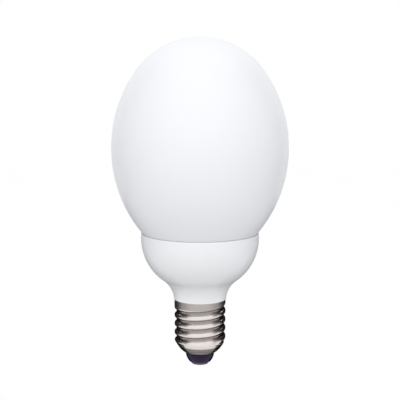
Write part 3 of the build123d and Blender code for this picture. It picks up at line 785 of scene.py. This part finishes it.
class BULB_OT_insulator(BulbPiece, bpy.types.Operator):
    """Turn the dark glass insulator between the shell and the end contact"""

    bl_idname = "bulb.insulator"
    bl_label = "Insulator"

    def execute(self, context):
        """Draw the glass's half section, spin it and give it dark violet glass."""
        cap = context.scene.bulb_cap
        low, seat = insulator_low.z, insulator_high.z
        mouth = shell_low.z
        neck = cap.mouth_radius - cap.press_gap
        hole = cap.contact_hole / 2
        stem = cap.stem_radius + cap.press_gap
        stem_top = low + cap.stem_length + cap.press_gap
        foot = mouth + SHOULDER_RISE / 2
        piece = start_line("glass_insulator", stem, low)
        line_to(piece, cap.tip_radius - cap.tip_rounding, low, parts=3)
        for inward, up in TIP_POINTS:
            line_to(piece, cap.tip_radius - cap.tip_rounding * inward, low + cap.tip_rounding * up)
        self.belly(piece, neck, mouth, cap.belly)
        line_to(piece, neck, foot)
        line_to(piece, insulator_high.x - cap.press_gap, seat - SHOULDER_RISE / 3)
        line_to(piece, insulator_high.x, seat)
        line_to(piece, hole, seat)
        line_to(piece, hole, stem_top)
        line_to(piece, stem, stem_top)
        line_to(piece, stem, low)
        turn_round(piece, self.steps)
        glass = cloudy_material(
            "Dark glass", cap.insulator, darker(cap.insulator, factor=0.6), roughness=0.22,
            cloud_scale=260.0, grain_scale=1800.0, grain_depth=0.006, spread=0.08,
        )
        glass.node_tree.nodes["Principled BSDF"].inputs["Specular IOR Level"].default_value = 0.2
        finish_piece(piece, glass, "dark_glass", "insulator")
        return {"FINISHED"}

    def belly(self, piece, neck, mouth, bulge):
        """Draw the insulator's swelling side up to the shell's mouth."""
        from_x, from_z = pen(piece)
        for number in range(1, BELLY_STEPS + 1):
            along = number / BELLY_STEPS
            swell = 4 * bulge * along * (1 - along)
            x = from_x + (neck - from_x) * along + swell
            line_to(piece, x, from_z + (mouth - from_z) * along)


class BULB_OT_contact(BulbPiece, bpy.types.Operator):
    """Turn the end contact and its bead of solder"""

    bl_idname = "bulb.contact"
    bl_label = "End contact"

    def execute(self, context):
        """Draw both half sections, spin them and give them brass and solder."""
        cap = context.scene.bulb_cap
        radius, face, back = contact_high.x, contact_low.z, insulator_low.z
        hole = cap.contact_hole / 2
        edge = cap.contact_edge
        stem_top = contact_high.z
        piece = start_line("end_contact", hole, face)
        line_to(piece, radius - edge, face, parts=4)
        arc_about(radius - edge, face + edge, math.pi / 2, parts=8)
        line_to(piece, radius, back)
        line_to(piece, cap.stem_radius, back)
        line_to(piece, cap.stem_radius, stem_top)
        line_to(piece, hole, stem_top)
        line_to(piece, hole, face)
        turn_round(piece, self.steps)
        brass = cloudy_material(
            "Tinned brass", cap.brass, darker(cap.brass, factor=0.8), roughness=0.32,
            cloud_scale=500.0, grain_scale=5000.0, grain_depth=0.003, spread=0.12, metallic=1.0,
        )
        finish_piece(piece, brass, "contact_brass", "centre_contact")

        low, high = solder_low.z, solder_high.z
        bead = start_line("contact_bead", 0.0, low)
        for out, up, parts in BEAD_POINTS:
            line_to(bead, out * hole, low + up * hole, parts)
        line_to(bead, hole, high)
        line_to(bead, 0.0, high)
        turn_round(bead, self.steps // 2)
        solder = cloudy_material(
            "Solder", cap.solder, darker(cap.solder, factor=0.75), roughness=0.38,
            cloud_scale=900.0, grain_scale=4000.0, grain_depth=0.004, spread=0.15, metallic=1.0,
        )
        finish_piece(bead, solder, "solder", "contact_solder")
        return {"FINISHED"}


# Inside of the lamp, by slot: colour, second tone, roughness, metallic, coat, cloud scale and
# grain depth in millimetres
INSIDE = {
    "holder_plastic": ((0.82, 0.82, 0.80), (0.78, 0.78, 0.76), 0.45, 0.0, 0.0, 90.0, 0.006),
    "tube_glass": ((0.90, 0.90, 0.88), (0.86, 0.87, 0.86), 0.12, 0.0, 0.6, 120.0, 0.001),
    "cement": ((0.74, 0.71, 0.64), (0.60, 0.57, 0.50), 0.85, 0.0, 0.0, 400.0, 0.03),
    "board_laminate": ((0.50, 0.37, 0.15), (0.42, 0.30, 0.11), 0.55, 0.0, 0.1, 300.0, 0.008),
    "solder": ((0.62, 0.62, 0.64), (0.46, 0.46, 0.48), 0.35, 1.0, 0.0, 900.0, 0.004),
    "ferrite": ((0.035, 0.035, 0.04), (0.055, 0.055, 0.06), 0.6, 0.0, 0.0, 500.0, 0.02),
    "winding_copper": ((0.60, 0.22, 0.08), (0.45, 0.15, 0.05), 0.3, 0.9, 0.3, 700.0, 0.02),
    "capacitor_sleeve": ((0.02, 0.03, 0.07), (0.03, 0.04, 0.09), 0.3, 0.0, 0.4, 300.0, 0.004),
    "film_resin": ((0.42, 0.05, 0.03), (0.32, 0.035, 0.02), 0.25, 0.0, 0.5, 350.0, 0.01),
    "component_black": ((0.02, 0.02, 0.022), (0.032, 0.032, 0.034), 0.5, 0.0, 0.0, 600.0, 0.01),
    "resistor_lacquer": ((0.28, 0.42, 0.48), (0.22, 0.34, 0.40), 0.3, 0.0, 0.4, 500.0, 0.006),
    "diac_glass": ((0.08, 0.20, 0.46), (0.05, 0.14, 0.36), 0.12, 0.0, 0.5, 400.0, 0.002),
    "tinned_wire": ((0.66, 0.66, 0.68), (0.52, 0.52, 0.54), 0.28, 1.0, 0.0, 800.0, 0.002),
    "wire_sleeve": ((0.80, 0.80, 0.80), (0.74, 0.74, 0.75), 0.45, 0.0, 0.0, 400.0, 0.004),
}


class BULB_OT_inside(BulbPiece, bpy.types.Operator):
    """Give the ballast, the tube and their holder the finish of their materials"""

    bl_idname = "bulb.inside"
    bl_label = "Inside"

    def execute(self, context):
        """Make one material for each finish, and put it on the nodes that have it."""
        made = {}
        for node in frame["record"]["subparts"]:
            slot = node["material_slot"]
            if slot not in INSIDE or node["node"] == "contact_solder":
                continue
            if slot not in made:
                tone, cloud, rough, metallic, coat, scale, grain = INSIDE[slot]
                made[slot] = cloudy_material(
                    slot.replace("_", " ").capitalize(), tone, cloud, rough,
                    cloud_scale=scale, grain_depth=grain, metallic=metallic, coat=coat,
                )
            carried = frame["nodes"][node["node"]]
            carried.data.materials.clear()
            carried.data.materials.append(made[slot])
        return {"FINISHED"}


def turn_towards(aim, place):
    """The turn of a camera or a lamp that looks from its place at its aim."""
    return (aim - place).to_track_quat("-Z", "Y").to_euler()


class BULB_OT_stage(BulbPiece, bpy.types.Operator):
    """Set up the camera, the soft lamp, the white surroundings, the floor and the screens"""

    bl_idname = "bulb.stage"
    bl_label = "Studio"

    def execute(self, context):
        """Place what the picture needs round the bulb."""
        studio = context.scene.bulb_studio
        context.scene.view_settings.view_transform = "Standard"
        self.camera(context, studio)
        self.key_lamp(studio)
        self.surroundings(context, studio)
        self.floor(studio)
        ground = -studio.floor_drop
        screens = (
            ("low_flag", studio.low_start, studio.low_end, studio.low_height,
             studio.low_distance, studio.flag_tone),
            ("tall_flag", studio.flag_start, studio.flag_end, studio.flag_height,
             studio.flag_distance, studio.flag_tone),
            ("grey_card", studio.side_start, studio.flag_start, studio.flag_height,
             studio.flag_distance, studio.side_tone),
            ("pale_strip", studio.strip_start, studio.strip_end, studio.strip_height,
             studio.strip_distance, studio.strip_tone),
        )
        for name, start, end, high, far, tone in screens:
            self.side_screens(name, start, end, ground, high, far, tone)
        place, flat, width = (0.0, 0.0, ground + CARD_GAP), (0.0, 0.0, 0.0), studio.card_width
        self.screen("floor_card", place, flat, width, width, studio.card_tone)
        return {"FINISHED"}

    def camera(self, context, studio):
        """A long lens, a little above the bulb's middle."""
        place = Vector((0.0, -studio.camera_distance, studio.camera_height))
        turn = turn_towards(Vector((0.0, 0.0, studio.aim_height)), place)
        bpy.ops.object.camera_add(location=place, rotation=turn)
        camera = context.object
        camera.name = "camera"
        camera.data.lens = studio.lens
        camera.data.clip_start = CAMERA_NEAR
        context.scene.camera = camera

    def key_lamp(self, studio):
        """A large soft lamp above the camera."""
        turn = turn_towards(KEY_AIM, KEY_PLACE)
        bpy.ops.object.light_add(type="AREA", location=KEY_PLACE, rotation=turn)
        lamp = bpy.context.object
        lamp.name = "key_lamp"
        lamp.data.size = studio.key_size
        lamp.data.energy = studio.key_power
        lamp.visible_glossy = False

    def surroundings(self, context, studio):
        """White to the camera and in reflections, and a plain level of light on the object."""
        world = bpy.data.worlds.new("Surroundings")
        world.use_nodes = True
        context.scene.world = world
        tree = world.node_tree
        soft = tree.nodes["Background"]
        soft.inputs["Color"].default_value = SOFT_WHITE
        place = tree.nodes.new("ShaderNodeTexCoord")
        way = tree.nodes.new("ShaderNodeSeparateXYZ")
        tree.links.new(place.outputs["Generated"], way.inputs[0])
        behind = math_node(tree, "MULTIPLY", way.outputs["Y"], studio.backlight)
        above = math_node(tree, "MULTIPLY", way.outputs["Z"], studio.toplight)
        level = math_node(tree, "ADD", math_node(tree, "ADD", behind, above), studio.ambient)
        tree.links.new(level, soft.inputs["Strength"])
        white = tree.nodes.new("ShaderNodeBackground")
        white.inputs["Color"].default_value = WHITE
        white.inputs["Strength"].default_value = 1.0
        both = mixed_shader(
            tree, seen_rays(tree), soft.outputs["Background"], white.outputs["Background"]
        )
        tree.links.new(both, tree.nodes["World Output"].inputs["Surface"])

    def floor(self, studio):
        """A pale floor, white to the camera apart from a faint shadow, and clear from below."""
        deselect_all()
        place = (0.0, 0.0, -studio.floor_drop)
        bpy.ops.mesh.primitive_plane_add(size=FLOOR_SIZE, location=place)
        floor = bpy.context.object
        floor.name = "floor"
        material, tree, shader, _ = new_material("Pale floor")
        shader.inputs["Base Color"].default_value = (*studio.floor_tone, 1.0)
        shader.inputs["Roughness"].default_value = 0.8
        glow = tree.nodes.new("ShaderNodeEmission")
        glow.inputs["Color"].default_value = WHITE
        glow.inputs["Strength"].default_value = studio.floor_white
        seen = math_node(tree, "MULTIPLY", seen_rays(tree), studio.floor_glow)
        top = mixed_shader(tree, seen, shader.outputs["BSDF"], glow.outputs["Emission"])
        side = tree.nodes.new("ShaderNodeNewGeometry")
        clear = tree.nodes.new("ShaderNodeBsdfTransparent")
        both = mixed_shader(tree, side.outputs["Backfacing"], top, clear.outputs["BSDF"])
        tree.links.new(both, tree.nodes["Material Output"].inputs["Surface"])
        floor.data.materials.append(material)

    def side_screens(self, name, start, end, low, high, far, tone):
        """A screen on each side of the bulb, between these angles from the camera's side."""
        width = 2 * far * math.tan((end - start) / 2)
        for side, sign in (("right", 1), ("left", -1)):
            azimuth = sign * (start + end) / 2
            place = (far * math.sin(azimuth), -far * math.cos(azimuth), (low + high) / 2)
            turn = (math.pi / 2, 0.0, azimuth)
            self.screen(f"{name}_{side}", place, turn, width, high - low, tone)

    def screen(self, name, place, turn, width, height, tone):
        """A plain screen that only reflections show."""
        deselect_all()
        bpy.ops.mesh.primitive_plane_add(size=1.0, location=place, rotation=turn)
        screen = bpy.context.object
        screen.name = name
        screen.scale = (width, height, 1.0)
        material, _, shader, _ = new_material(name)
        shader.inputs["Base Color"].default_value = (*tone, 1.0)
        shader.inputs["Roughness"].default_value = 1.0
        shader.inputs["Specular IOR Level"].default_value = 0.0
        screen.data.materials.append(material)
        screen.visible_camera = False
        screen.visible_diffuse = False
        screen.visible_transmission = False
        screen.visible_shadow = False


class BULB_PT_panel(bpy.types.Panel):
    """The bulb's pieces and their settings"""

    bl_idname = "BULB_PT_panel"
    bl_label = "Energy saving bulb"
    bl_space_type = "VIEW_3D"
    bl_region_type = "UI"
    bl_category = "Bulb"

    def draw(self, context):
        """List each piece's button, then its settings."""
        scene = context.scene
        groups = (
            (BULB_OT_globe, scene.bulb_globe),
            (BULB_OT_housing, scene.bulb_housing),
            (BULB_OT_cap, scene.bulb_cap),
            (BULB_OT_insulator, None),
            (BULB_OT_contact, None),
            (BULB_OT_inside, None),
            (BULB_OT_stage, scene.bulb_studio),
        )
        for operator, settings in groups:
            box = self.layout.box()
            box.operator(operator.bl_idname)
            if settings is None:
                continue
            for name in type(settings).__annotations__:
                box.prop(settings, name)


SETTINGS = {
    "bulb_globe": BulbGlobe,
    "bulb_housing": BulbHousing,
    "bulb_cap": BulbCap,
    "bulb_studio": BulbStudio,
}
OPERATORS = (
    BULB_OT_globe,
    BULB_OT_housing,
    BULB_OT_cap,
    BULB_OT_insulator,
    BULB_OT_contact,
    BULB_OT_inside,
    BULB_OT_stage,
)


def register():
    """Register the settings, the operators and the panel."""
    for name, settings in SETTINGS.items():
        bpy.utils.register_class(settings)
        setattr(bpy.types.Scene, name, PointerProperty(type=settings))
    for operator in OPERATORS:
        bpy.utils.register_class(operator)
    bpy.utils.register_class(BULB_PT_panel)


def unregister():
    """Take them away again."""
    bpy.utils.unregister_class(BULB_PT_panel)
    for operator in reversed(OPERATORS):
        bpy.utils.unregister_class(operator)
    for name, settings in SETTINGS.items():
        delattr(bpy.types.Scene, name)
        bpy.utils.unregister_class(settings)


def main():
    """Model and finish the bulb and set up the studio."""
    register()
    bpy.ops.bulb.globe()
    bpy.ops.bulb.housing()
    bpy.ops.bulb.cap()
    bpy.ops.bulb.insulator()
    bpy.ops.bulb.contact()
    bpy.ops.bulb.inside()
    bpy.ops.bulb.stage()


if __name__ == "__main__":
    main()
